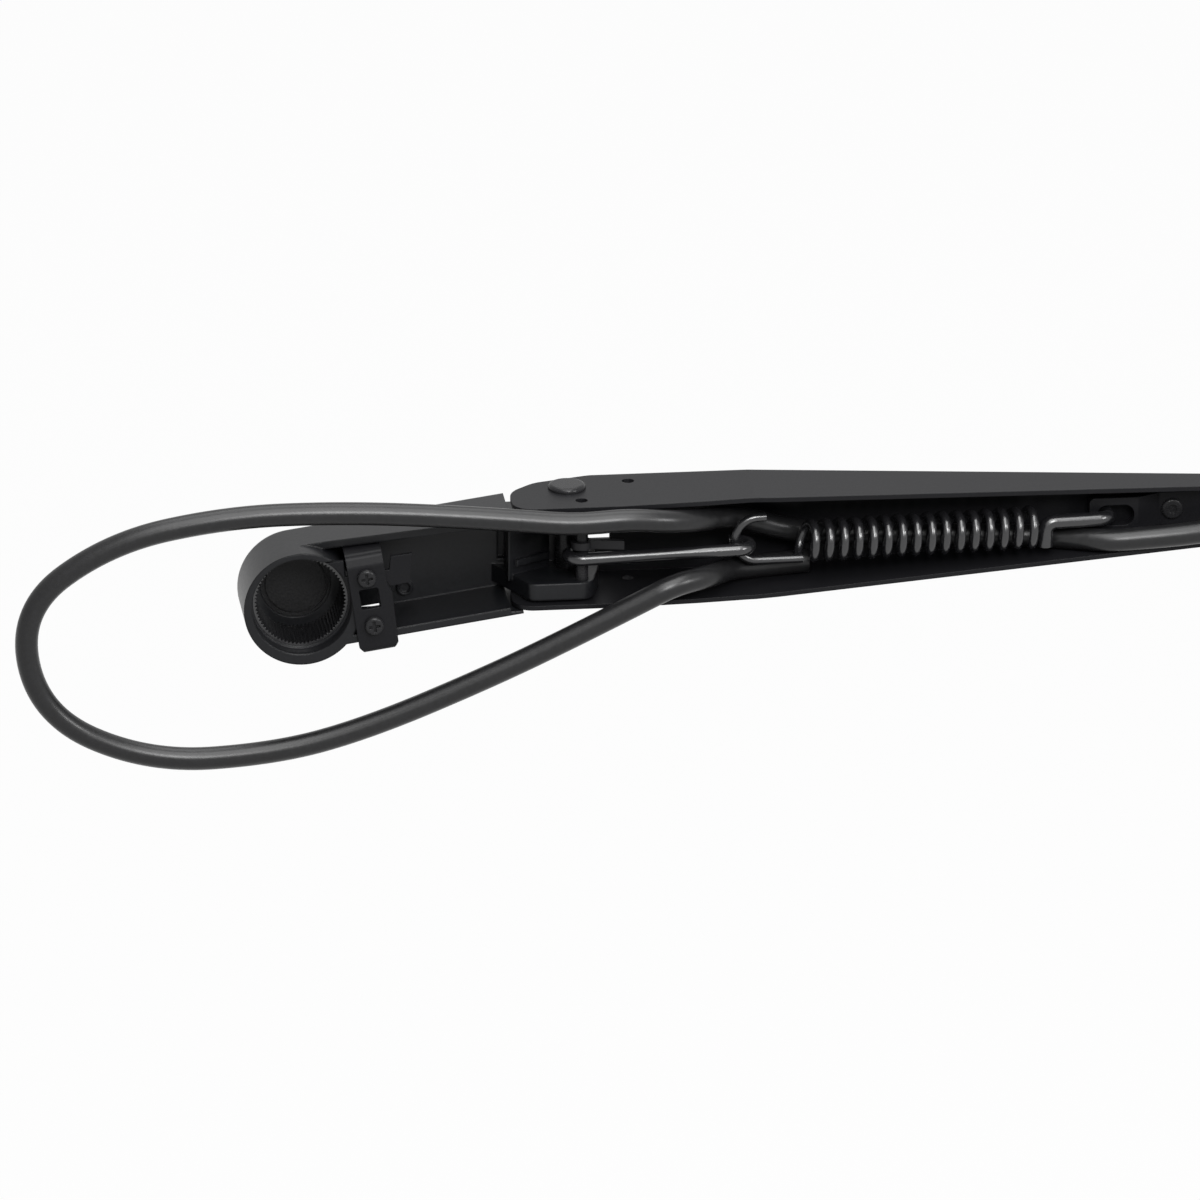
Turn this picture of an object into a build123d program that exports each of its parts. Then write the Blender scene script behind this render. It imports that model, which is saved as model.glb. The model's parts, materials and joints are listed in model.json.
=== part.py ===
from build123d import *
import math
import os

os.makedirs("parts", exist_ok=True)

# Frame: origin at the centre of the spindle bore's mouth, X along the arm to the blade,
# Y away from the glass, Z up and along the fold hinge. Lengths in millimetres, angles in degrees.

# Small helpers for cuts that run past a face
PAST = 60.0
TINY = 0.01

# Head casting
BOSS_R = 15.3
BOSS_SHIFT = 0.15
BOSS_DROP = -0.7
HEAD_DEPTH = 21.3
FLOOR_T = 3.0
HEAD_WALL = 2.1
HEAD_UPPER_TURN = 8.1
HEAD_LOWER_Z = -12.5
HEAD_LIP = 0.6
HEAD_UPPER_END = 54.5
HEAD_LOWER_END = 58.0
UPPER_RIM_BACK = 6.0
UPPER_RIM_X = [6.0, 56.0]
UPPER_RIM_LOW = 12.3
RING_STEP = 0.1
HEAD_BACK_ROUND = 2.4
GROOVE_START = 53.0
GROOVE_END = 55.6
GROOVE_DEPTH = 1.7

# Spindle bore
MOUTH_R = 13.1
PILOT_LENGTH = 4.5
BORE_DEPTH = 18.2
SLEEVE_R = 12.4
DRIVE_ROOT_R = 12.0
DRIVE_TIP_R = 11.4
DRIVE_TEETH = 72
CAP_HOLE_R = 9.3
CAP_CLEARANCE = 0.05
CAP_FLANGE_R = 11.6
CAP_FLANGE_T = 1.5
CAP_GROOVE_IN = 7.9
CAP_GROOVE_OUT = 8.6
CAP_GROOVE_DEPTH = 0.6

# Fold hinge and hook pin
HINGE_X = 70.8
HINGE_Y = 14.8
ARM_Z = 10.9
RIVET_R = 3.0
RIVET_HEAD_R = 4.95
RIVET_HEAD_H = 1.3
DOME_SHARE = 0.8
BUSH_WALL = 1.0
BUSH_PLAY = 0.05
PIN_X = 73.6
PIN_Y = 4.8
PIN_R = 1.7
WASHER_T = 0.4
EAR_T = 4.55
EAR_HINGE_R = 8.2
EAR_NOSE_R = 3.6
EAR_NOSE_X = 73.2
EAR_FRONT_X = 61.5
EAR_FRONT_R = 2.5
EAR_BACK_R = 1.0
EAR_BACKS = [(51.5, 20.3), (60.5, 16.0)]
BODY_GAP = 0.3
TONGUE = [(54.8, 8.4), (66.2, 15.6), (66.2, 20.0), (54.8, 20.0)]
TONGUE_SINK = 1.4
TONGUE_RIB = [(57.0, 8.6), (66.2, 14.4), (66.2, 16.4), (57.0, 10.6)]
TONGUE_RIB_LIFT = 2.3
TONGUE_RIB_H = 1.9
BACK_PLATE_FRONT = 18.7
BACK_PLATE_INSET = 0.4
BACK_PLATE_END = 76.2
RELIEF_START = 54.6
CLIP_R = 2.8
CLIP_H = 2.0
CLIP_GAP = 0.35
CLIP_TAB_END = 84.5
CLIP_TAB_H = 2.4
CLIP_TAB_T = 1.6

# Folded channel
SHEET = 1.2
CHANNEL_HALF = 14.0
CHANNEL_END_HALF = 5.75
TAPER_START = 119.0
CHANNEL_END = 294.0
CHANNEL_BACK = 25.5
WEB_START = 80.4
WEB_NOTCH_END = 83.0
WEB_NOTCH_HALF = 3.9
WEB_TAB_START = 77.2
BEND_R = 1.8
EAR_LEFT = 55.4
EAR_BACK_LOW = 13.0
EAR_BACK_MID_X = 62.5
EAR_BACK_MID_Y = 19.6
EAR_BACK_END_Y = 24.9
EAR_FRONT_ROUND = 5.5
EAR_BACK_ROUND = 9.0
RIM_Y = -0.8
RIM_POINTS = [(294.0, 19.7), (125.0, 2.2), (117.0, 1.8), (104.0, 0.5), (84.0, -0.8)]
SIDE_HOLE_R = 1.6
SIDE_HOLE_X = 87.2
SIDE_HOLE_Y = 18.6

# Strap, locking plate and screws on the head
STRAP_TURN = 8.4
STRAP_X = 17.65
STRAP_Z = 2.0
STRAP_T = 1.2
STRAP_REACH = 7.0
STRAP_LINE = [(6.8, 12.1), (0.4, 11.6), (-0.6, 8.8), (-0.6, -14.2), (3.2, -14.7)]
STRAP_BENDS = [1.2, 2.5, 1.3]
STRAP_OUTLINE = [
    (-4.7, 14.0), (5.0, 14.0), (5.0, 3.6), (6.0, 0.9),
    (5.6, -13.0), (4.3, -15.0), (-3.4, -15.0), (-4.7, -13.0),
]
STRAP_SLOT_W = 5.2
STRAP_SLOT_H = 5.5
SCREW_UP = 5.85
SCREW_DOWN = -7.4
SCREW_R = 1.25
SCREW_PLAY = 0.1
SCREW_HEAD_R = 2.45
SCREW_HEAD_H = 1.5
SCREW_LENGTH = 6.0
SCREW_CROSS_W = 0.75
SCREW_CROSS_L = 3.0
SCREW_CROSS_D = 0.9
POST_R = 3.6
LUG_W = 5.6
LUG_TOP = 2.3
LUG_DEPTH = 5.8
PLATE_T = 1.2
PLATE_EDGE = 0.3
PLATE_OUTLINE = [
    (4.0, 11.6), (4.0, 1.6), (13.6, 1.6), (13.8, 5.8), (21.5, 6.4), (22.8, 4.9), (28.2, 5.7),
    (28.9, 13.7), (23.2, 13.0), (22.9, 9.4), (11.2, 7.8), (10.9, 12.2),
]
DRAIN_X = 19.4
DRAIN_Z = -7.55
DRAIN_L = 5.4
DRAIN_H = 1.5
MARK_X = 28.6
MARK_Z = -2.2
MARK_R = 2.1
MARK_H = 0.8
MARK_LINE = 0.7

# Rod
ROD_W = 9.0
ROD_T = 3.0
ROD_START = 208.5
JOGGLE_START = 221.0
JOGGLE_END = 227.0
JOGGLE_STEP = 3.1
ROD_BEND = 520.0
HOOK_R = 4.75
HOOK_RETURN = 24.0
SLOT_START = 210.6
SLOT_END = 220.3
SLOT_LOW = 7.8
SLOT_HIGH = 13.4
SLOT_ROUND = 2.5
SLOT_PLAY = 0.9
ROD_RIVETS = [230.7, 252.0]
ROD_RIVET_R = 2.0
ROD_RIVET_HEAD_R = 2.85
ROD_RIVET_HEAD_H = 0.9
ROD_RIVET_TAIL_H = 0.6
ROD_DIMPLE_R = 1.2
ROD_DIMPLE_D = 0.5

# Wire link and tension spring, both on the line from the hook pin to the rod's slot
PULL_Z = 9.8
PULL_END_Y = 15.2
LINK_R = 1.7
LINK_PLAY = 0.05
LINK_L = 41.0
LINK_TAIL = 3.8
LINK_END_TAIL = 1.5
SPRING_WIRE_R = 1.15
SPRING_MEAN_R = 4.65
SPRING_COILS = 16
SPRING_PITCH = 3.87
SPRING_START = 58.3
SPRING_LEAN = 0.2
SPRING_LOOP_R = 5.9
SPRING_LOOP_RISE = 1.5
SPRING_LOOP_TIP = 2.2
LOOP_PLAY = 0.9
SLOT_HOOK_R = 1.95
SLOT_HOOK_BEND = 2.6
SLOT_HOOK_RISE = 1.1
SLOT_HOOK_DROP = 5.4
SLOT_HOOK_END = 22.8

# Washer hose
HOSE_R = 3.0
HOSE_BORE_R = 2.0
HOSE_SEAT = 0.05
FILLET_SHARE = 0.45
HOSE_LOOP = [
    (56.6, -3.9, 23.0), (39.6, -3.9, 24.9), (9.2, -3.9, 27.1), (-20.1, -3.9, 26.9), (-50.5, -3.9, 21.0),
    (-74.3, -3.9, 3.4), (-69.2, -3.9, -25.8), (-40.5, -3.9, -40.1), (-7.3, -3.9, -38.9), (17.2, -3.9, -32.6),
    (49.2, -3.9, -19.5), (72.7, -3.9, -8.4), (88.5, -3.9, -0.5),
]
# Inside the channel: X, Y and the distance from the inner face of the upper or the lower wall
HOSE_UNDER_TOP = [
    (85.0, -3.9, 1.5), (96.0, -2.0, 3.1), (104.0, 2.9, 4.8), (111.2, 10.6, 6.7), (118.3, 15.2, 9.3),
]
HOSE_OVER_LOW = [
    (127.0, 17.8, 12.2), (136.0, 19.8, 9.3), (150.0, 20.9, 7.35), (193.5, 21.2, 3.2), (203.5, 17.2, 3.1),
    (213.0, 12.4, 3.1), (236.0, 12.3, 3.3), (256.0, 15.0, 4.25), (276.0, 18.0, 5.3),
]
HOSE_ON_ROD = [292.0, 396.0]
HOSE_LEAD = 14.5
HOSE_TAIL_LEAD = 9.4
HOSE_TAIL_OVER_LOW = [
    (106.0, 0.7, 5.9), (113.5, 10.8, 4.4), (121.0, 14.4, 3.4), (134.0, 15.6, 3.3),
]

# Hose clips, nozzle and jets on the rod
CLIP_AT = [312.0, 352.0]
CLIP_L = 8.0
CLIP_WALL = 1.3
NOZZLE_X = 390.0
NOZZLE_L = 24.0
NOZZLE_WALL = 2.2
NOZZLE_SOCKET = 6.0
JET_R = 1.7
JET_SPREAD = 7.0
JET_PROUD = 0.6

# Values that follow from those above
FLOOR_Y = HEAD_DEPTH - FLOOR_T
WALL_IN = CHANNEL_HALF - SHEET
WEB_IN = CHANNEL_BACK - SHEET
TAPER = (CHANNEL_HALF - CHANNEL_END_HALF) / (CHANNEL_END - TAPER_START)
EAR_HALF = WALL_IN - WASHER_T - BODY_GAP
BUSH_IN_R = RIVET_R + BUSH_PLAY
BUSH_R = BUSH_IN_R + BUSH_WALL
EAR_FRONT = PIN_Y - EAR_NOSE_R
ROD_FRONT = WEB_IN - ROD_T
ROD_MID = WEB_IN - ROD_T / 2
EYE_R = PIN_R + LINK_PLAY + LINK_R
PULL_DX = SLOT_START + SLOT_HOOK_R + SLOT_PLAY - PIN_X
PULL_DY = PULL_END_Y - PIN_Y
PULL_L = math.hypot(PULL_DX, PULL_DY)
PULL_TURN = math.degrees(math.atan2(PULL_DY, PULL_DX))
hose_y = ROD_FRONT - HOSE_R - HOSE_SEAT


def wall_inside(x):
    """Half of the channel's inner width at x."""
    return WALL_IN - max(0, x - TAPER_START) * TAPER


def straight_on(points, length):
    """Point beyond the last one, in line with the last run."""
    last = Vector(*points[-1])
    way = (last - Vector(*points[-2])).normalized()
    return tuple(last + way * length)


HOSE_UPPER = [HOSE_LOOP[0], straight_on(HOSE_LOOP[1::-1], HOSE_LEAD)]
HOSE_UPPER += [(x, y, ARM_Z + wall_inside(x) - drop) for x, y, drop in HOSE_UNDER_TOP]
HOSE_UPPER += [(x, y, ARM_Z - wall_inside(x) + rise) for x, y, rise in HOSE_OVER_LOW]
HOSE_UPPER += [(x, hose_y, ARM_Z) for x in HOSE_ON_ROD]
HOSE_TAIL = [HOSE_LOOP[-1], straight_on(HOSE_LOOP, HOSE_TAIL_LEAD)]
HOSE_TAIL += [(x, y, ARM_Z - wall_inside(x) + rise) for x, y, rise in HOSE_TAIL_OVER_LOW]
print("pull line from", (PIN_X, PIN_Y, PULL_Z), "length", round(PULL_L, 3), "turn", round(PULL_TURN, 3))


def front(y):
    """Plane across the arm at depth y: its own axes are X and Z, and its normal faces the glass."""
    return Plane(origin=(0, y, 0), x_dir=(1, 0, 0), z_dir=(0, -1, 0))


def level(z):
    """Plane at height z: its own axes are X and Y."""
    return Plane(origin=(0, 0, z), x_dir=(1, 0, 0), z_dir=(0, 0, 1))


def radii(points):
    """Arc radius at each inner point of a hose route."""
    found = []
    for before, here, after in zip(points, points[1:], points[2:]):
        first = Vector(*here) - Vector(*before)
        second = Vector(*after) - Vector(*here)
        turn = math.radians(first.get_angle(second))
        found.append(FILLET_SHARE * min(first.length, second.length) / math.tan(turn / 2))
    return found


def hose(points, name):
    """Tube along straight runs joined by tangent arcs."""
    bends = radii(points)
    print(name, "radii", [round(r, 1) for r in bends])
    with BuildPart() as tube:
        with BuildLine() as route:
            FilletPolyline(*points, radius=bends)
        with BuildSketch(Plane(origin=route.line @ 0, z_dir=route.line % 0)):
            Circle(HOSE_R)
            Circle(HOSE_BORE_R, mode=Mode.SUBTRACT)
        sweep()
    length = route.wire().length
    section = math.pi * (HOSE_R**2 - HOSE_BORE_R**2)
    print(name, "length", round(length, 1), "volume share", round(tube.part.volume / (section * length), 4))
    return tube.part


# Head casting: drafted shell with the bore's ring, two ears and the lugs for the screws
upper_slope = math.tan(math.radians(HEAD_UPPER_TURN))
tangent_x = BOSS_SHIFT - BOSS_R * math.sin(math.radians(HEAD_UPPER_TURN))
tangent_z = BOSS_DROP + BOSS_R * math.cos(math.radians(HEAD_UPPER_TURN))
upper_end_z = tangent_z + (HEAD_UPPER_END - tangent_x) * upper_slope
lower_end_z = ARM_Z - CHANNEL_HALF - BODY_GAP - HEAD_LIP
lower_slope = (lower_end_z - HEAD_LOWER_Z) / HEAD_LOWER_END
head_outline = [
    (tangent_x, tangent_z),
    (HEAD_UPPER_END, upper_end_z),
    (HEAD_LOWER_END, lower_end_z),
    (0, HEAD_LOWER_Z),
    (BOSS_SHIFT, BOSS_DROP),
]
pocket_past = HEAD_LOWER_END + HEAD_WALL
pocket_outline = [
    (0, tangent_z - tangent_x * upper_slope - HEAD_WALL),
    (pocket_past, tangent_z + (pocket_past - tangent_x) * upper_slope - HEAD_WALL),
    (pocket_past, HEAD_LOWER_Z + pocket_past * lower_slope + HEAD_WALL),
    (0, HEAD_LOWER_Z + HEAD_WALL),
]
rim_cut = [
    (0, -FLOOR_T),
    (0, UPPER_RIM_BACK),
    (UPPER_RIM_X[0], UPPER_RIM_BACK),
    (UPPER_RIM_X[1], 0),
    (UPPER_RIM_X[1], -FLOOR_T),
]
strap_cos = math.cos(math.radians(STRAP_TURN))
strap_sin = math.sin(math.radians(STRAP_TURN))
screw_spots = [(STRAP_X - p * strap_sin, STRAP_Z + p * strap_cos) for p in (SCREW_UP, SCREW_DOWN)]
ear_levels = [ARM_Z - EAR_HALF, ARM_Z + EAR_HALF - EAR_T]

lug_x, lug_z = screw_spots[1]
lug_low = HEAD_LOWER_Z + lug_x * lower_slope + HEAD_WALL / 2

with BuildPart() as rim_room:
    with BuildSketch(level(UPPER_RIM_LOW)):
        with BuildLine():
            Polyline(*rim_cut, close=True)
        make_face()
    extrude(amount=PAST)
    with BuildSketch(front(0)):
        with Locations((BOSS_SHIFT, BOSS_DROP)):
            Circle(BOSS_R + RING_STEP)
    extrude(amount=PAST, both=True, mode=Mode.SUBTRACT)

with BuildPart() as head_casting:
    with BuildSketch(front(0)):
        with BuildLine():
            Polyline(*head_outline, close=True)
        make_face()
        with Locations((BOSS_SHIFT, BOSS_DROP)):
            Circle(BOSS_R)
    extrude(amount=-HEAD_DEPTH)
    back_edges = [e for e in head_casting.edges() if abs(e.center().Y - HEAD_DEPTH) < TINY]
    fillet([e for e in back_edges if e.center().X < HEAD_UPPER_END], HEAD_BACK_ROUND)
    # Shell inside
    with BuildSketch(front(0)):
        with BuildLine():
            Polyline(*pocket_outline, close=True)
        make_face()
        with Locations((BOSS_SHIFT, BOSS_DROP)):
            Circle(BOSS_R, mode=Mode.SUBTRACT)
    extrude(amount=-FLOOR_Y, mode=Mode.SUBTRACT)
    with BuildSketch(front(FLOOR_Y)):
        with Locations(((GROOVE_START + GROOVE_END) / 2, ARM_Z)):
            Rectangle(GROOVE_END - GROOVE_START, EAR_HALF)
    extrude(amount=-GROOVE_DEPTH, mode=Mode.SUBTRACT)
    # Upper wall's rim set back from the boss
    add(rim_room.part, mode=Mode.SUBTRACT)
    # Screw post at the top, lug on the lower wall for the other screw
    with BuildSketch(front(PLATE_T)):
        with Locations(screw_spots[0]):
            Circle(POST_R)
    extrude(amount=-(FLOOR_Y - PLATE_T))
    with BuildSketch(front(0)):
        with Locations((lug_x, (lug_low + lug_z + LUG_TOP) / 2)):
            Rectangle(LUG_W, lug_z + LUG_TOP - lug_low)
    extrude(amount=-(PLATE_T + LUG_DEPTH))
    # Ears
    for ear_z, ear_back in zip(ear_levels, EAR_BACKS):
        with BuildSketch(level(ear_z)):
            with Locations((HINGE_X, HINGE_Y)):
                Circle(EAR_HINGE_R)
            with Locations((EAR_NOSE_X, PIN_Y)):
                Circle(EAR_NOSE_R)
            with Locations((EAR_FRONT_X, EAR_FRONT + EAR_FRONT_R)):
                Circle(EAR_FRONT_R)
            with Locations(ear_back):
                Circle(EAR_BACK_R)
            make_hull()
        extrude(amount=EAR_T)
    # Tongue between the ears, with its rib and the plate behind the hinge
    tongue_half = EAR_HALF - EAR_T + TONGUE_SINK
    with BuildSketch(level(ARM_Z)):
        with BuildLine():
            Polyline(*TONGUE, close=True)
        make_face()
    extrude(amount=tongue_half, both=True)
    with BuildSketch(level(ARM_Z - EAR_HALF + EAR_T + TONGUE_RIB_LIFT)):
        with BuildLine():
            Polyline(*TONGUE_RIB, close=True)
        make_face()
    extrude(amount=TONGUE_RIB_H)
    with BuildSketch(level(ARM_Z)):
        with Locations((HINGE_X, HINGE_Y)):
            Circle(EAR_HINGE_R - BACK_PLATE_INSET)
        with Locations((HINGE_X - HEAD_DEPTH / 2, (BACK_PLATE_FRONT + HEAD_DEPTH) / 2)):
            Circle(BACK_PLATE_INSET)
        make_hull()
        with Locations((BACK_PLATE_END - PAST / 2, BACK_PLATE_FRONT + PAST / 2)):
            Rectangle(PAST, PAST, mode=Mode.INTERSECT)
    extrude(amount=tongue_half, both=True)
    # Room for the channel's lower wall
    with BuildSketch(level(ARM_Z - WALL_IN + BODY_GAP / 2)):
        with Locations((RELIEF_START + PAST / 2, 0)):
            Rectangle(PAST, PAST * 2)
    extrude(amount=-(SHEET + BODY_GAP + BODY_GAP / 2), mode=Mode.SUBTRACT)
    # Spindle bore, cap hole, plate seat
    with BuildSketch(front(0)):
        Circle(MOUTH_R)
    extrude(amount=-PILOT_LENGTH, mode=Mode.SUBTRACT)
    with BuildSketch(front(0)):
        Circle(SLEEVE_R)
    extrude(amount=-BORE_DEPTH, mode=Mode.SUBTRACT)
    with BuildSketch(front(0)):
        Circle(CAP_HOLE_R)
    extrude(amount=-PAST, mode=Mode.SUBTRACT)
    with BuildSketch(front(0)):
        with BuildLine():
            Polyline(*PLATE_OUTLINE, close=True)
        make_face()
        offset(amount=PLATE_EDGE)
    extrude(amount=-PLATE_T, mode=Mode.SUBTRACT)
    # Screw holes, hinge and pin bores
    with BuildSketch(front(0)):
        with Locations(*screw_spots):
            Circle(SCREW_R + SCREW_PLAY)
    extrude(amount=-(SCREW_LENGTH + BODY_GAP), mode=Mode.SUBTRACT)
    with BuildSketch(level(ARM_Z)):
        with Locations((HINGE_X, HINGE_Y)):
            Circle(BUSH_R)
        with Locations((PIN_X, PIN_Y)):
            Circle(PIN_R)
    extrude(amount=EAR_HALF + BODY_GAP, both=True, mode=Mode.SUBTRACT)
    # Drain slot and mould mark on the floor
    with BuildSketch(front(FLOOR_Y - MARK_H)):
        with Locations((DRAIN_X, DRAIN_Z)):
            Rectangle(DRAIN_L, DRAIN_H, rotation=STRAP_TURN)
    extrude(amount=-PAST, mode=Mode.SUBTRACT)
    with BuildSketch(front(FLOOR_Y)):
        with Locations((MARK_X, MARK_Z)):
            Circle(MARK_R)
            Circle(MARK_R - MARK_LINE, mode=Mode.SUBTRACT)
    extrude(amount=MARK_H)
head_casting.part.label = "head_casting"
export_step(head_casting.part, "parts/head_casting.step")

# Knurled drive sleeve in the bore
tooth_points = []
for step in range(2 * DRIVE_TEETH):
    tooth_r = DRIVE_TIP_R if step % 2 else DRIVE_ROOT_R
    tooth_turn = math.pi * step / DRIVE_TEETH
    tooth_points.append((tooth_r * math.cos(tooth_turn), tooth_r * math.sin(tooth_turn)))
with BuildPart() as drive_sleeve:
    with BuildSketch(front(PILOT_LENGTH)):
        Circle(SLEEVE_R)
        with BuildLine():
            Polyline(*tooth_points, close=True)
        make_face(mode=Mode.SUBTRACT)
    extrude(amount=-(BORE_DEPTH - PILOT_LENGTH))
drive_sleeve.part.label = "drive_sleeve"
export_step(drive_sleeve.part, "parts/drive_sleeve.step")

# Cap that closes the bore from outside
with BuildPart() as bore_cap:
    with BuildSketch(front(BORE_DEPTH)):
        Circle(CAP_HOLE_R - CAP_CLEARANCE)
    extrude(amount=-(HEAD_DEPTH - BORE_DEPTH))
    with BuildSketch(front(HEAD_DEPTH)):
        Circle(CAP_FLANGE_R)
    extrude(amount=-CAP_FLANGE_T)
    with BuildSketch(front(BORE_DEPTH)):
        Circle(CAP_GROOVE_OUT)
        Circle(CAP_GROOVE_IN, mode=Mode.SUBTRACT)
    extrude(amount=-CAP_GROOVE_DEPTH, mode=Mode.SUBTRACT)
    cap_rim = [e for e in bore_cap.edges() if abs(e.center().Y - HEAD_DEPTH - CAP_FLANGE_T) < TINY]
    fillet(cap_rim, CAP_FLANGE_T / 2)
bore_cap.part.label = "bore_cap"
export_step(bore_cap.part, "parts/bore_cap.step")

# Locking plate beside the bore, under the strap
with BuildPart() as lock_plate:
    with BuildSketch(front(0)):
        with BuildLine():
            Polyline(*PLATE_OUTLINE, close=True)
        make_face()
        Circle(MOUTH_R + PLATE_EDGE, mode=Mode.SUBTRACT)
        with Locations(screw_spots[0]):
            Circle(SCREW_R + SCREW_PLAY, mode=Mode.SUBTRACT)
    extrude(amount=-PLATE_T)
lock_plate.part.label = "lock_plate"
export_step(lock_plate.part, "parts/lock_plate.step")

# Strap screwed across the head
strap_side = Plane(origin=(STRAP_X, 0, STRAP_Z), x_dir=(0, 1, 0), z_dir=(strap_cos, 0, strap_sin))
strap_face = Plane(origin=(STRAP_X, 0, STRAP_Z), x_dir=(strap_cos, 0, strap_sin), z_dir=(0, -1, 0))
with BuildPart() as strap:
    with BuildSketch(strap_side):
        with BuildLine():
            FilletPolyline(*STRAP_LINE, radius=STRAP_BENDS)
        trace(line_width=STRAP_T)
    extrude(amount=STRAP_REACH, both=True)
    with BuildSketch(strap_face):
        with BuildLine():
            Polyline(*STRAP_OUTLINE, close=True)
        make_face()
        RectangleRounded(STRAP_SLOT_W, STRAP_SLOT_H, STRAP_T / 2, mode=Mode.SUBTRACT)
        with Locations((0, SCREW_UP), (0, SCREW_DOWN)):
            Circle(SCREW_R + SCREW_PLAY, mode=Mode.SUBTRACT)
    extrude(amount=PAST, both=True, mode=Mode.INTERSECT)
strap.part.label = "strap"
export_step(strap.part, "parts/strap.step")

# Cross-head screws
with BuildPart() as strap_screws:
    with BuildSketch(front(-STRAP_T)):
        with Locations(*screw_spots):
            Circle(SCREW_HEAD_R)
    extrude(amount=SCREW_HEAD_H)
    head_tops = [e for e in strap_screws.edges() if abs(e.center().Y + STRAP_T + SCREW_HEAD_H) < TINY]
    fillet(head_tops, SCREW_HEAD_H / 2)
    with BuildSketch(front(-STRAP_T)):
        with Locations(*screw_spots):
            Circle(SCREW_R)
    extrude(amount=-(SCREW_LENGTH + STRAP_T))
    with BuildSketch(front(-STRAP_T - SCREW_HEAD_H)):
        with Locations(*screw_spots):
            Rectangle(SCREW_CROSS_L, SCREW_CROSS_W, rotation=STRAP_TURN)
            Rectangle(SCREW_CROSS_W, SCREW_CROSS_L, rotation=STRAP_TURN)
    extrude(amount=-SCREW_CROSS_D, mode=Mode.SUBTRACT)
strap_screws.part.label = "strap_screws"
export_step(strap_screws.part, "parts/strap_screws.step")

# Hook pin across the ears
with BuildPart() as hook_pin:
    with BuildSketch(level(ARM_Z)):
        with Locations((PIN_X, PIN_Y)):
            Circle(PIN_R)
    extrude(amount=EAR_HALF, both=True)
hook_pin.part.label = "hook_pin"
export_step(hook_pin.part, "parts/hook_pin.step")

# Retaining clip with its tab, on the pin next to the link's eye
clip_low = PULL_Z + LINK_R + CLIP_GAP
with BuildPart() as pin_clip:
    with BuildSketch(level(clip_low)):
        with Locations((PIN_X, PIN_Y)):
            Circle(CLIP_R)
            Circle(PIN_R, mode=Mode.SUBTRACT)
    extrude(amount=CLIP_H)
    with BuildSketch(level(clip_low)):
        with BuildLine():
            Polyline(
                (PIN_X + PIN_R + TINY, PIN_Y - CLIP_R / 2),
                (CLIP_TAB_END, PIN_Y - CLIP_R),
                (CLIP_TAB_END, PIN_Y - CLIP_R + CLIP_TAB_T),
                (PIN_X + PIN_R + TINY, PIN_Y - CLIP_R / 2 + CLIP_TAB_T),
                close=True,
            )
        make_face()
    extrude(amount=CLIP_TAB_H)
pin_clip.part.label = "pin_clip"
export_step(pin_clip.part, "parts/pin_clip.step")

# Bushes pressed in the ears
with BuildPart() as hinge_bushes:
    for ear_z in ear_levels:
        with BuildSketch(level(ear_z)):
            with Locations((HINGE_X, HINGE_Y)):
                Circle(BUSH_R)
                Circle(BUSH_IN_R, mode=Mode.SUBTRACT)
        extrude(amount=EAR_T)
hinge_bushes.part.label = "hinge_bushes"
export_step(hinge_bushes.part, "parts/hinge_bushes.step")

# Channel folded from sheet
side_outline = [
    (EAR_LEFT, RIM_Y),
    (EAR_LEFT, EAR_BACK_LOW),
    (EAR_BACK_MID_X, EAR_BACK_MID_Y),
    (WEB_START, EAR_BACK_END_Y),
    (WEB_START, CHANNEL_BACK),
    (CHANNEL_END, CHANNEL_BACK),
    *RIM_POINTS,
]
plan_outline = [
    (0, ARM_Z + CHANNEL_HALF),
    (TAPER_START, ARM_Z + CHANNEL_HALF),
    (CHANNEL_END, ARM_Z + CHANNEL_END_HALF),
    (CHANNEL_END, ARM_Z - CHANNEL_END_HALF),
    (TAPER_START, ARM_Z - CHANNEL_HALF),
    (0, ARM_Z - CHANNEL_HALF),
]
far_half = CHANNEL_END_HALF - SHEET - PAST * TAPER / 2
inner_outline = [
    (0, ARM_Z + WALL_IN),
    (TAPER_START, ARM_Z + WALL_IN),
    (CHANNEL_END + PAST / 2, ARM_Z + far_half),
    (CHANNEL_END + PAST / 2, ARM_Z - far_half),
    (TAPER_START, ARM_Z - WALL_IN),
    (0, ARM_Z - WALL_IN),
]
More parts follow.
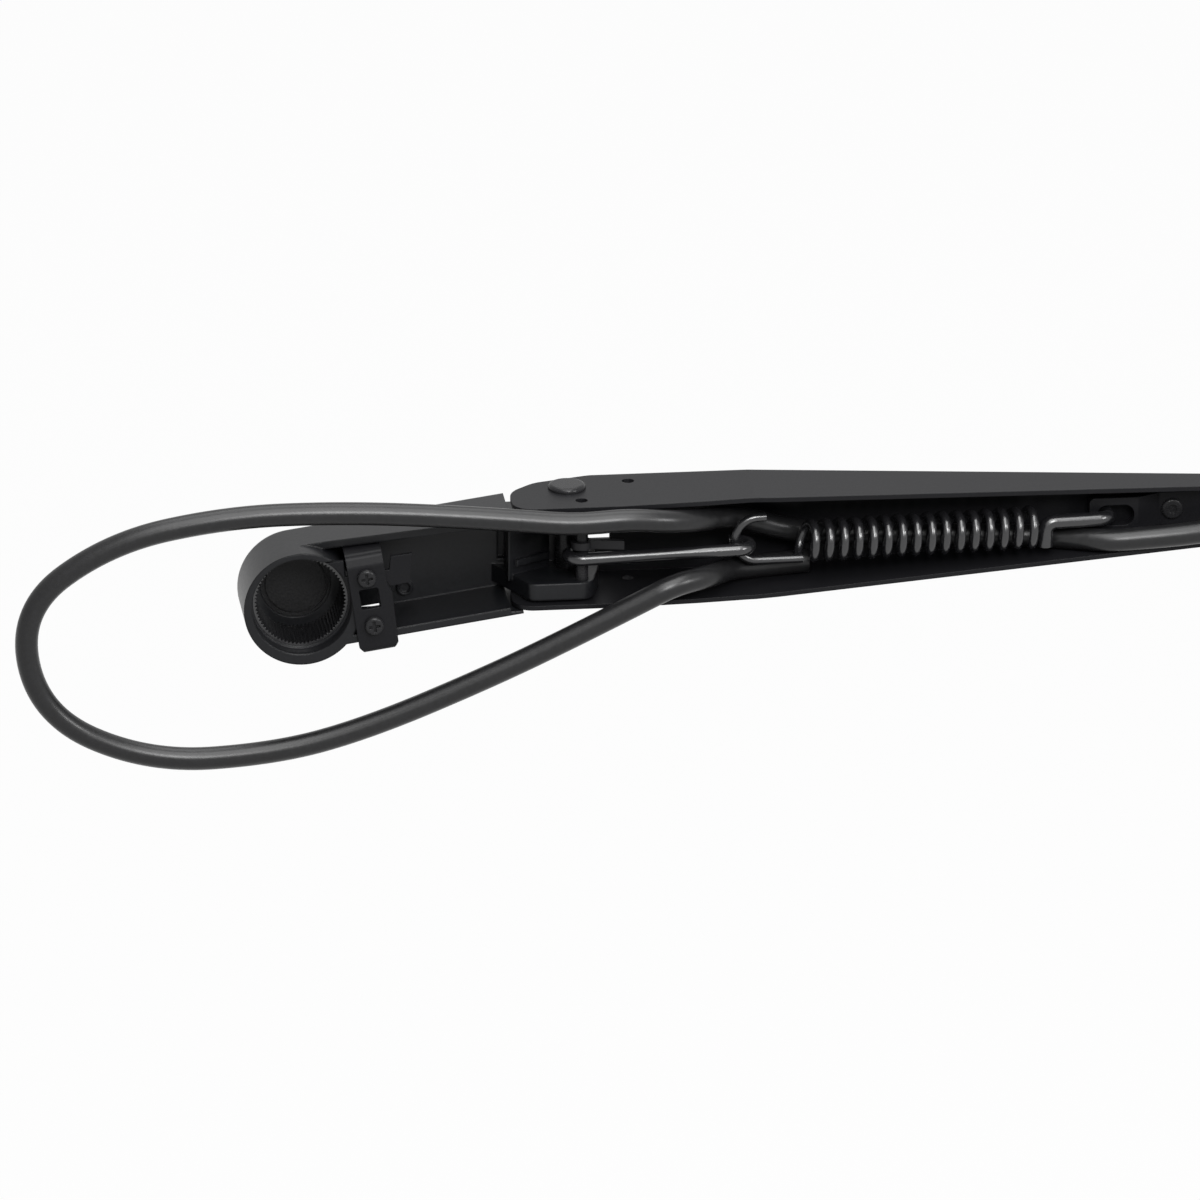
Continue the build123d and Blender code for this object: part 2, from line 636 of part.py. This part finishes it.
with BuildPart() as arm_channel:
    with BuildSketch(level(ARM_Z)) as side:
        with BuildLine():
            Polyline(*side_outline, close=True)
        make_face()
        fillet(side.vertices().sort_by_distance((EAR_LEFT, RIM_Y, 0))[0], EAR_FRONT_ROUND)
        fillet(side.vertices().sort_by_distance((EAR_LEFT, EAR_BACK_LOW, 0))[0], EAR_BACK_ROUND)
        fillet(side.vertices().sort_by_distance((EAR_BACK_MID_X, EAR_BACK_MID_Y, 0))[0], EAR_BACK_ROUND)
    extrude(amount=CHANNEL_HALF + PAST, both=True)
    with BuildSketch(front(0)):
        with BuildLine():
            Polyline(*plan_outline, close=True)
        make_face()
    extrude(amount=PAST, both=True, mode=Mode.INTERSECT)
    back_edges = [e for e in arm_channel.edges() if abs(e.center().Y - CHANNEL_BACK) < TINY]
    bends = [e for e in back_edges if abs((e % 0).X) > abs((e % 0).Z)]
    fillet(bends, BEND_R)
    with BuildSketch(front(WEB_IN)):
        with BuildLine():
            Polyline(*inner_outline, close=True)
        make_face()
    extrude(amount=PAST, mode=Mode.SUBTRACT)
    with BuildSketch(front(0)):
        with Locations((WEB_START / 2, ARM_Z)):
            Rectangle(WEB_START, WALL_IN * 2)
        with Locations((WEB_START, ARM_Z)):
            Rectangle((WEB_NOTCH_END - WEB_START) * 2, WEB_NOTCH_HALF * 2)
    extrude(amount=-PAST, mode=Mode.SUBTRACT)
    # Low part of the web that reaches to the hinge
    with BuildSketch(front(WEB_IN)):
        with Locations(((WEB_TAB_START + WEB_NOTCH_END) / 2, ARM_Z - (WALL_IN + WEB_NOTCH_HALF) / 2)):
            Rectangle(WEB_NOTCH_END - WEB_TAB_START, WALL_IN - WEB_NOTCH_HALF)
    extrude(amount=-SHEET)
    with BuildSketch(level(ARM_Z)):
        with Locations((HINGE_X, HINGE_Y)):
            Circle(RIVET_R)
        with Locations((PIN_X, PIN_Y), (SIDE_HOLE_X, SIDE_HOLE_Y)):
            Circle(SIDE_HOLE_R)
    extrude(amount=PAST, both=True, mode=Mode.SUBTRACT)
    with BuildSketch(front(0)):
        with Locations(*[(x, ARM_Z) for x in ROD_RIVETS]):
            Circle(ROD_RIVET_R)
    extrude(amount=-PAST, mode=Mode.SUBTRACT)
arm_channel.part.label = "arm_channel"
export_step(arm_channel.part, "parts/arm_channel.step")

# Hinge rivet
with BuildPart() as hinge_rivet:
    with BuildSketch(level(ARM_Z)):
        with Locations((HINGE_X, HINGE_Y)):
            Circle(RIVET_R)
    extrude(amount=CHANNEL_HALF, both=True)
    with BuildSketch(level(ARM_Z + CHANNEL_HALF)):
        with Locations((HINGE_X, HINGE_Y)):
            Circle(RIVET_HEAD_R)
    extrude(amount=RIVET_HEAD_H)
    with BuildSketch(level(ARM_Z - CHANNEL_HALF)):
        with Locations((HINGE_X, HINGE_Y)):
            Circle(RIVET_HEAD_R)
    extrude(amount=-RIVET_HEAD_H)
    top_z = CHANNEL_HALF + RIVET_HEAD_H
    rivet_tops = [e for e in hinge_rivet.edges() if abs(abs(e.center().Z - ARM_Z) - top_z) < TINY]
    fillet(rivet_tops, RIVET_HEAD_H * DOME_SHARE)
hinge_rivet.part.label = "hinge_rivet"
export_step(hinge_rivet.part, "parts/hinge_rivet.step")

# Washers between the ears and the channel's walls
with BuildPart() as hinge_washers:
    for washer_z in (ARM_Z - WALL_IN, ARM_Z + WALL_IN - WASHER_T):
        with BuildSketch(level(washer_z)):
            with Locations((HINGE_X, HINGE_Y)):
                Circle(EAR_HINGE_R - BODY_GAP)
                Circle(RIVET_R, mode=Mode.SUBTRACT)
        extrude(amount=WASHER_T)
hinge_washers.part.label = "hinge_washers"
export_step(hinge_washers.part, "parts/hinge_washers.step")

# Flat rod with the spring's slot at one end and the blade hook at the other
hook_near = ROD_MID - 2 * HOOK_R
with BuildPart() as arm_rod:
    with BuildSketch(level(ARM_Z)):
        with BuildLine():
            Polyline(
                (ROD_START, ROD_MID - JOGGLE_STEP),
                (JOGGLE_START, ROD_MID - JOGGLE_STEP),
                (JOGGLE_END, ROD_MID),
                (ROD_BEND, ROD_MID),
            )
            hook_tip = (ROD_BEND + HOOK_R, ROD_MID - HOOK_R)
            ThreePointArc((ROD_BEND, ROD_MID), hook_tip, (ROD_BEND, hook_near))
            Line((ROD_BEND, hook_near), (ROD_BEND - HOOK_RETURN, hook_near))
        trace(line_width=ROD_T)
    extrude(amount=ROD_W / 2, both=True)
    slot_mid_x = (SLOT_START + SLOT_END) / 2
    slot_mid_z = (SLOT_LOW + SLOT_HIGH) / 2
    with BuildSketch(front(0)):
        with Locations((slot_mid_x, slot_mid_z)):
            RectangleRounded(SLOT_END - SLOT_START, SLOT_HIGH - SLOT_LOW, SLOT_ROUND)
        with Locations(*[(x, ARM_Z) for x in ROD_RIVETS]):
            Circle(ROD_RIVET_R)
    extrude(amount=-PAST, mode=Mode.SUBTRACT)
    start_edges = [e for e in arm_rod.edges().filter_by(Axis.Y) if abs(e.center().X - ROD_START) < TINY]
    fillet(start_edges, ROD_T / 2)
arm_rod.part.label = "arm_rod"
export_step(arm_rod.part, "parts/arm_rod.step")

# Rivets that hold the rod on the web
with BuildPart() as rod_rivets:
    for rivet_x in ROD_RIVETS:
        with BuildSketch(front(ROD_FRONT)):
            with Locations((rivet_x, ARM_Z)):
                Circle(ROD_RIVET_R)
        extrude(amount=-(CHANNEL_BACK - ROD_FRONT))
        with BuildSketch(front(ROD_FRONT)):
            with Locations((rivet_x, ARM_Z)):
                Circle(ROD_RIVET_HEAD_R)
        extrude(amount=ROD_RIVET_HEAD_H)
        with BuildSketch(front(CHANNEL_BACK)):
            with Locations((rivet_x, ARM_Z)):
                Circle(ROD_RIVET_HEAD_R)
        extrude(amount=-ROD_RIVET_TAIL_H)
    rivet_domes = [e for e in rod_rivets.edges() if abs(e.center().Y - ROD_FRONT + ROD_RIVET_HEAD_H) < TINY]
    fillet(rivet_domes, ROD_RIVET_HEAD_H * DOME_SHARE)
    with BuildSketch(front(ROD_FRONT - ROD_RIVET_HEAD_H)):
        with Locations(*[(x, ARM_Z) for x in ROD_RIVETS]):
            Circle(ROD_DIMPLE_R)
    extrude(amount=-ROD_DIMPLE_D, mode=Mode.SUBTRACT)
rod_rivets.part.label = "rod_rivets"
export_step(rod_rivets.part, "parts/rod_rivets.step")

# Wire link: a hook round the pin, a straight bar on the glass side and a hook for the spring
pull = Plane(origin=(PIN_X, PIN_Y, PULL_Z), x_dir=(PULL_DX, PULL_DY, 0), z_dir=(0, 0, 1))
with BuildPart() as spring_link:
    with BuildLine(pull) as link_line:
        Line((LINK_TAIL, EYE_R), (0, EYE_R))
        ThreePointArc((0, EYE_R), (-EYE_R, 0), (0, -EYE_R))
        Line((0, -EYE_R), (LINK_L, -EYE_R))
        ThreePointArc((LINK_L, -EYE_R), (LINK_L + EYE_R, 0), (LINK_L, EYE_R))
        Line((LINK_L, EYE_R), (LINK_L - LINK_END_TAIL, EYE_R))
    with BuildSketch(Plane(origin=link_line.line @ 0, z_dir=link_line.line % 0)):
        Circle(LINK_R)
    sweep()
spring_link.part.label = "spring_link"
export_step(spring_link.part, "parts/spring_link.step")

# Tension spring, built along X from the pin and then laid on the pull line
spring_shift = SPRING_LEAN * SPRING_MEAN_R
spring_end = SPRING_START + SPRING_COILS * SPRING_PITCH
loop_left = LINK_L + EYE_R - LINK_R - SPRING_WIRE_R - LOOP_PLAY
loop_mid = loop_left + SPRING_LOOP_R
loop_low = SPRING_LOOP_RISE - SPRING_LOOP_R
loop_high = SPRING_LOOP_RISE + SPRING_LOOP_R
hook_a = spring_end - spring_shift / 2 + SPRING_WIRE_R + BODY_GAP + SLOT_HOOK_R


def wire_along(path, r):
    """Round wire along the edges of a line builder."""
    with BuildSketch(Plane(origin=path.line @ 0, z_dir=path.line % 0)) as section:
        Circle(r)
    return sweep(sections=section.sketch, path=path.wire(), mode=Mode.PRIVATE)


with BuildPart() as tension_spring:
    coil = Helix(SPRING_PITCH, SPRING_COILS * SPRING_PITCH, SPRING_MEAN_R)
    coil = Plane(origin=(SPRING_START, 0, 0), x_dir=(0, 0, -1), z_dir=(1, 0, 0)) * coil
    coil = coil.transform_geometry(Matrix([[1, 0, SPRING_LEAN, 0], [0, 1, 0, 0], [0, 0, 1, 0]]))
    with BuildSketch(Plane(origin=coil @ 0, z_dir=coil % 0)):
        Circle(SPRING_WIRE_R)
    sweep(path=coil, is_frenet=True)
    with BuildLine() as lead_left:
        Line((SPRING_START - spring_shift + SPRING_WIRE_R, 0, -SPRING_MEAN_R), (loop_mid, 0, loop_low))
    add(wire_along(lead_left, SPRING_WIRE_R))
    with BuildLine() as hook_left:
        ThreePointArc((loop_mid, 0, loop_low), (loop_left, 0, SPRING_LOOP_RISE), (loop_mid, 0, loop_high))
        Line((loop_mid, 0, loop_high), (loop_mid + SPRING_LOOP_TIP, 0, loop_high))
    add(wire_along(hook_left, SPRING_WIRE_R))
spring_part = pull * tension_spring.part
spring_part.label = "tension_spring"
export_step(spring_part, "parts/tension_spring.step")

# Hook from the spring's end into the rod's slot
with BuildPart() as slot_hook:
    with BuildLine() as slot_line:
        FilletPolyline(
            (PULL_L, SLOT_HOOK_END - PULL_END_Y, SLOT_HOOK_RISE),
            (PULL_L, 0, SLOT_HOOK_RISE),
            (hook_a, 0, SLOT_HOOK_RISE),
            (hook_a, 0, -SLOT_HOOK_DROP),
            radius=SLOT_HOOK_BEND,
        )
    add(wire_along(slot_line, SLOT_HOOK_R))
slot_hook_part = pull * slot_hook.part
slot_hook_part.label = "slot_hook"
export_step(slot_hook_part, "parts/slot_hook.step")

# Washer hose: held run, free loop and tucked tail
hose_upper = hose(HOSE_UPPER, "hose_upper")
hose_upper.label = "hose_upper"
export_step(hose_upper, "parts/hose_upper.step")
hose_loop = hose(HOSE_LOOP, "hose_loop")
hose_loop.label = "hose_loop"
export_step(hose_loop, "parts/hose_loop.step")
hose_tail = hose(HOSE_TAIL, "hose_tail")
hose_tail.label = "hose_tail"
export_step(hose_tail, "parts/hose_tail.step")

# Clips that hold the hose on the rod
clip_front = hose_y - HOSE_R - CLIP_WALL
clip_back = WEB_IN + CLIP_WALL
clip_half = ROD_W / 2 + CLIP_WALL
with BuildPart() as hose_clips:
    for clip_x in CLIP_AT:
        with BuildSketch(Plane(origin=(clip_x, 0, 0), x_dir=(0, 1, 0), z_dir=(1, 0, 0))):
            with Locations(((clip_front + clip_back) / 2, ARM_Z)):
                RectangleRounded(clip_back - clip_front, 2 * clip_half, CLIP_WALL)
            with Locations((ROD_MID, ARM_Z)):
                Rectangle(ROD_T, ROD_W, mode=Mode.SUBTRACT)
            with Locations((hose_y, ARM_Z)):
                Circle(HOSE_R, mode=Mode.SUBTRACT)
        extrude(amount=CLIP_L)
hose_clips.part.label = "hose_clips"
export_step(hose_clips.part, "parts/hose_clips.step")

# Spray nozzle at the hose's end
nozzle_front = hose_y - HOSE_R - NOZZLE_WALL
nozzle_half = ROD_W / 2 + NOZZLE_WALL
nozzle_back = WEB_IN + CLIP_WALL
jet_mid = NOZZLE_X + NOZZLE_L / 2 + NOZZLE_SOCKET / 2
jet_spots = [jet_mid - JET_SPREAD / 2, jet_mid + JET_SPREAD / 2]
with BuildPart() as spray_nozzle:
    with BuildSketch(Plane(origin=(NOZZLE_X, 0, 0), x_dir=(0, 1, 0), z_dir=(1, 0, 0))):
        with Locations(((nozzle_front + nozzle_back) / 2, ARM_Z)):
            RectangleRounded(nozzle_back - nozzle_front, 2 * nozzle_half, NOZZLE_WALL / 2)
        with Locations((ROD_MID, ARM_Z)):
            Rectangle(ROD_T, ROD_W, mode=Mode.SUBTRACT)
    extrude(amount=NOZZLE_L)
    with BuildSketch(Plane(origin=(NOZZLE_X, 0, 0), x_dir=(0, 1, 0), z_dir=(1, 0, 0))):
        with Locations((hose_y, ARM_Z)):
            Circle(HOSE_R)
    extrude(amount=NOZZLE_SOCKET, mode=Mode.SUBTRACT)
    with Locations(*[(x, nozzle_front + JET_R - JET_PROUD, ARM_Z) for x in jet_spots]):
        Sphere(JET_R, mode=Mode.SUBTRACT)
spray_nozzle.part.label = "spray_nozzle"
export_step(spray_nozzle.part, "parts/spray_nozzle.step")

# Jets set in the nozzle
with BuildPart() as nozzle_jets:
    with Locations(*[(x, nozzle_front + JET_R - JET_PROUD, ARM_Z) for x in jet_spots]):
        Sphere(JET_R)
nozzle_jets.part.label = "nozzle_jets"
export_step(nozzle_jets.part, "parts/nozzle_jets.step")
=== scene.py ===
import json
import math

import bpy
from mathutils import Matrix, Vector

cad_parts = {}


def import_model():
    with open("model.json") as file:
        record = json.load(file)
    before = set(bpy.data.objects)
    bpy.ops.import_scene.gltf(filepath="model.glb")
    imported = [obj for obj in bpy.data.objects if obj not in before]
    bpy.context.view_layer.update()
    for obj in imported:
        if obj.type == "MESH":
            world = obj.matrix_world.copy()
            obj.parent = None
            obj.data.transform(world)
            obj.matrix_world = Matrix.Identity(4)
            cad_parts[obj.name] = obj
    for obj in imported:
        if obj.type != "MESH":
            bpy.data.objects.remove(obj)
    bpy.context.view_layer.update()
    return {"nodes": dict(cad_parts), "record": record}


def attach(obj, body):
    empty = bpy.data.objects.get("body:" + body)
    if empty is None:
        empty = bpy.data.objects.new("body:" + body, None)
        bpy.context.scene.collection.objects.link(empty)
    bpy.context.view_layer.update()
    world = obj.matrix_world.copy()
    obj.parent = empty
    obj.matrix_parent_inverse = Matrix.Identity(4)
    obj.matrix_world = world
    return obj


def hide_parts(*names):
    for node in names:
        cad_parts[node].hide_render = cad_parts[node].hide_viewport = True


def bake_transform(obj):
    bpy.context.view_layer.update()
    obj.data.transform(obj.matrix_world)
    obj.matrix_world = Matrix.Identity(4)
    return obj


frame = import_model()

# Lengths in metres and angles in degrees, in the row frame
MM = 0.001

# Camera: where the photograph was taken from
AZIMUTH = -6.07
ELEVATION = 20.0
DISTANCE = 6.0
LENS = 692.5
SENSOR = 36.0
CLIP_NEAR = 0.01
CLIP_FAR = 50
AIM = (0.0771, -0.0076, 0.0017)

# Free washer hose: the same route as the modelled tube, its points in millimetres
HOSE_DIAMETER = 6 * MM
HOSE_ROUND_STEPS = 6
HOSE_ROUTE_STEPS = 16
HOSE_ORDER = 3
HOSE_LOOP = [
    (56.6, -3.9, 23.0), (39.6, -3.9, 24.9), (9.2, -3.9, 27.1), (-20.1, -3.9, 26.9), (-50.5, -3.9, 21.0),
    (-74.3, -3.9, 3.4), (-69.2, -3.9, -25.8), (-40.5, -3.9, -40.1), (-7.3, -3.9, -38.9), (17.2, -3.9, -32.6),
    (49.2, -3.9, -19.5), (72.7, -3.9, -8.4), (88.5, -3.9, -0.5),
]

# Finishes: depth of the grain's noise, its relief as a share of the grain, and samples for softened edges
GRAIN_DETAIL = 4
RELIEF_SHARE = 0.25
EDGE_SAMPLES = 4

# Sockets of the mix node when it mixes colours
MIX_SHARE = 0
MIX_DARK = 6
MIX_PALE = 7
MIX_COLOUR = 2

# Stage: white where it is seen, with a share of the shadow on the floor, and dim as light
FLOOR_Z = -0.30
FLOOR_SIZE = 8.0
FLOOR_GREY = 0.5
FLOOR_SHADOW = 0.03
WHITE = 1.0
WORLD_LIGHT = 0.05

# Lamps: name, place, aim, side of the square and power in watts
LAMPS = [
    ("lamp_top", (0.1, -0.5, 1.05), (0.1, 0, 0), 0.9, 14),
    ("lamp_key", (0.18, -0.95, 0.62), (0.1, 0, 0), 0.34, 9),
    ("lamp_side", (0.9, -0.8, 0.55), (0.15, 0, 0), 0.30, 6),
    ("lamp_back", (0.1, 0.4, 1.1), (0.1, 0, 0), 0.8, 6),
]


def placed(name, data):
    """A new object in the scene."""
    thing = bpy.data.objects.new(name, data)
    bpy.context.scene.collection.objects.link(thing)
    return thing


def empty_tree(owner):
    """The cleared node tree of a material or a world."""
    owner.use_nodes = True
    owner.node_tree.nodes.clear()
    return owner.node_tree


def grained(name, dark, pale, smooth, rough, grain, bump, edge, specular):
    """Black finish: colour, roughness and relief follow a fine grain, and edges are softened."""
    material = bpy.data.materials.new(name)
    tree = empty_tree(material)
    shader = tree.nodes.new("ShaderNodeBsdfPrincipled")
    shader.inputs["Specular IOR Level"].default_value = specular
    output = tree.nodes.new("ShaderNodeOutputMaterial")
    tree.links.new(shader.outputs["BSDF"], output.inputs["Surface"])
    place = tree.nodes.new("ShaderNodeTexCoord")
    noise = tree.nodes.new("ShaderNodeTexNoise")
    noise.inputs["Scale"].default_value = 1 / grain
    noise.inputs["Detail"].default_value = GRAIN_DETAIL
    tree.links.new(place.outputs["Object"], noise.inputs["Vector"])
    colour = tree.nodes.new("ShaderNodeMix")
    colour.data_type = "RGBA"
    colour.inputs[MIX_DARK].default_value = (*dark, 1)
    colour.inputs[MIX_PALE].default_value = (*pale, 1)
    tree.links.new(noise.outputs["Fac"], colour.inputs[MIX_SHARE])
    tree.links.new(colour.outputs[MIX_COLOUR], shader.inputs["Base Color"])
    sheen = tree.nodes.new("ShaderNodeMapRange")
    sheen.inputs["To Min"].default_value = smooth
    sheen.inputs["To Max"].default_value = rough
    tree.links.new(noise.outputs["Fac"], sheen.inputs["Value"])
    tree.links.new(sheen.outputs["Result"], shader.inputs["Roughness"])
    soft = tree.nodes.new("ShaderNodeBevel")
    soft.samples = EDGE_SAMPLES
    soft.inputs["Radius"].default_value = edge
    relief = tree.nodes.new("ShaderNodeBump")
    relief.inputs["Strength"].default_value = bump
    relief.inputs["Distance"].default_value = grain * RELIEF_SHARE
    tree.links.new(noise.outputs["Fac"], relief.inputs["Height"])
    tree.links.new(soft.outputs["Normal"], relief.inputs["Normal"])
    tree.links.new(relief.outputs["Normal"], shader.inputs["Normal"])
    return material


def paint(name):
    """Satin black paint on sheet steel."""
    return grained(
        name,
        dark=(0.004, 0.004, 0.005),
        pale=(0.009, 0.009, 0.010),
        smooth=0.34,
        rough=0.46,
        grain=0.45 * MM,
        bump=0.12,
        edge=0.3 * MM,
        specular=0.13,
    )


def cast(name):
    """Black paint on a die casting, with a coarser grain and rounder edges."""
    return grained(
        name,
        dark=(0.003, 0.003, 0.0035),
        pale=(0.008, 0.0085, 0.010),
        smooth=0.30,
        rough=0.42,
        grain=0.9 * MM,
        bump=0.08,
        edge=0.7 * MM,
        specular=0.24,
    )


def cap_face(name):
    """Speckled moulding of the cap behind the bore."""
    return grained(
        name,
        dark=(0.002, 0.002, 0.002),
        pale=(0.030, 0.030, 0.031),
        smooth=0.25,
        rough=0.45,
        grain=0.55 * MM,
        bump=1.0,
        edge=0.2 * MM,
        specular=0.15,
    )


def steel(name):
    """Black-coated steel hardware."""
    return grained(
        name,
        dark=(0.008, 0.008, 0.009),
        pale=(0.020, 0.020, 0.021),
        smooth=0.20,
        rough=0.34,
        grain=0.4 * MM,
        bump=0.06,
        edge=0.25 * MM,
        specular=0.17,
    )


def wire(name):
    """Glossy black spring wire."""
    return grained(
        name,
        dark=(0.005, 0.005, 0.006),
        pale=(0.012, 0.012, 0.013),
        smooth=0.20,
        rough=0.30,
        grain=0.6 * MM,
        bump=0.04,
        edge=0.05 * MM,
        specular=0.8,
    )


def rubber(name):
    """Smooth black rubber of the hose."""
    return grained(
        name,
        dark=(0.006, 0.006, 0.006),
        pale=(0.013, 0.013, 0.014),
        smooth=0.28,
        rough=0.36,
        grain=1.2 * MM,
        bump=0.05,
        edge=0.05 * MM,
        specular=0.34,
    )


def plastic(name):
    """Matt black moulding."""
    return grained(
        name,
        dark=(0.008, 0.008, 0.009),
        pale=(0.015, 0.015, 0.016),
        smooth=0.40,
        rough=0.56,
        grain=0.35 * MM,
        bump=0.10,
        edge=0.2 * MM,
        specular=0.2,
    )


def hose_curve():
    """The free loop as a smooth tube on the route's points."""
    data = bpy.data.curves.new("hose_run", "CURVE")
    data.dimensions = "3D"
    data.bevel_depth = HOSE_DIAMETER / 2
    data.bevel_resolution = HOSE_ROUND_STEPS
    data.resolution_u = HOSE_ROUTE_STEPS
    data.use_fill_caps = True
    spline = data.splines.new("NURBS")
    spline.points.add(len(HOSE_LOOP) - 1)
    for point, place in zip(spline.points, HOSE_LOOP):
        point.co = (*[value * MM for value in place], 1)
    spline.order_u = HOSE_ORDER
    spline.use_endpoint_u = True
    return placed("hose_run", data)


def stretching_spring():
    """A copy of the spring, which runs between the link and the slot."""
    return placed("spring_coils", frame["nodes"]["tension_spring"].data.copy())


def larger(tree, first, second):
    """The larger of two values."""
    node = tree.nodes.new("ShaderNodeMath")
    node.operation = "MAXIMUM"
    tree.links.new(first, node.inputs[0])
    tree.links.new(second, node.inputs[1])
    return node.outputs[0]


def seen_rays(tree):
    """One for the rays that show the surroundings: from the camera, mirrored or through glass."""
    rays = tree.nodes.new("ShaderNodeLightPath")
    mirrored = larger(tree, rays.outputs["Is Camera Ray"], rays.outputs["Is Glossy Ray"])
    return larger(tree, mirrored, rays.outputs["Is Transmission Ray"])


def floor_white():
    """Grey surface that shows as white and keeps a share of the shadow that falls on it."""
    material = bpy.data.materials.new("floor_white")
    tree = empty_tree(material)
    share = tree.nodes.new("ShaderNodeMath")
    share.operation = "MULTIPLY"
    share.inputs[1].default_value = 1 - FLOOR_SHADOW
    tree.links.new(seen_rays(tree), share.inputs[0])
    matt = tree.nodes.new("ShaderNodeBsdfDiffuse")
    matt.inputs["Color"].default_value = (FLOOR_GREY, FLOOR_GREY, FLOOR_GREY, 1)
    glow = tree.nodes.new("ShaderNodeEmission")
    glow.inputs["Strength"].default_value = WHITE
    both = tree.nodes.new("ShaderNodeMixShader")
    tree.links.new(share.outputs[0], both.inputs[0])
    tree.links.new(matt.outputs[0], both.inputs[1])
    tree.links.new(glow.outputs[0], both.inputs[2])
    output = tree.nodes.new("ShaderNodeOutputMaterial")
    tree.links.new(both.outputs[0], output.inputs["Surface"])
    return material


def floor():
    """A wide flat floor below the part."""
    bpy.ops.mesh.primitive_plane_add(size=FLOOR_SIZE, location=(0, 0, FLOOR_Z))
    piece = bpy.context.object
    piece.name = "floor"
    piece.data.materials.append(floor_white())


def lamp(name, place, aim, size, power):
    """A square soft lamp."""
    data = bpy.data.lights.new(name, "AREA")
    data.shape = "SQUARE"
    data.size = size
    data.energy = power
    light = placed(name, data)
    light.location = place
    light.rotation_euler = (Vector(aim) - Vector(place)).to_track_quat("-Z", "Y").to_euler()


def world():
    """Surroundings that are white where they are seen and dim as light."""
    surroundings = bpy.data.worlds.new("studio")
    tree = empty_tree(surroundings)
    level = tree.nodes.new("ShaderNodeMapRange")
    level.inputs["To Min"].default_value = WORLD_LIGHT
    level.inputs["To Max"].default_value = WHITE
    tree.links.new(seen_rays(tree), level.inputs["Value"])
    shade = tree.nodes.new("ShaderNodeBackground")
    tree.links.new(level.outputs["Result"], shade.inputs["Strength"])
    output = tree.nodes.new("ShaderNodeOutputWorld")
    tree.links.new(shade.outputs[0], output.inputs["Surface"])
    bpy.context.scene.world = surroundings


def camera():
    """Camera at the photograph's viewing angle."""
    turn = math.radians(AZIMUTH)
    rise = math.radians(ELEVATION)
    way = Vector((math.sin(turn) * math.cos(rise), -math.cos(turn) * math.cos(rise), math.sin(rise)))
    data = bpy.data.cameras.new("camera")
    data.lens = LENS
    data.sensor_width = SENSOR
    data.sensor_fit = "HORIZONTAL"
    data.clip_start = CLIP_NEAR
    data.clip_end = CLIP_FAR
    eye = placed("camera", data)
    eye.location = Vector(AIM) + way * DISTANCE
    eye.rotation_euler = (-way).to_track_quat("-Z", "Y").to_euler()
    bpy.context.scene.camera = eye


# Finishes by material slot of the record
FINISHES = {
    "cast_black": cast("cast_black"),
    "sheet_black": paint("sheet_black"),
    "dark_steel": steel("dark_steel"),
    "spring_wire": wire("spring_wire"),
    "hose_rubber": rubber("hose_rubber"),
    "black_plastic": plastic("black_plastic"),
}
for entry in frame["record"]["subparts"]:
    node = frame["nodes"][entry["node"]]
    node.data.materials.clear()
    node.data.materials.append(FINISHES[entry["material_slot"]])

# Pieces that look unlike the others of their slot
frame["nodes"]["bore_cap"].data.materials[0] = cap_face("cap_face")
frame["nodes"]["lock_plate"].data.materials[0] = FINISHES["sheet_black"]
frame["nodes"]["drive_sleeve"].data.materials[0] = FINISHES["spring_wire"]

loop = hose_curve()
loop.data.materials.append(FINISHES["hose_rubber"])
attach(loop, "arm")
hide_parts("hose_loop")

coils = stretching_spring()
coils.data.materials.clear()
coils.data.materials.append(FINISHES["spring_wire"])
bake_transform(coils)
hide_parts("tension_spring")

floor()
for name, place, aim, size, power in LAMPS:
    lamp(name, place, aim, size, power)
world()
camera()
bpy.context.scene.view_settings.view_transform = "Standard"
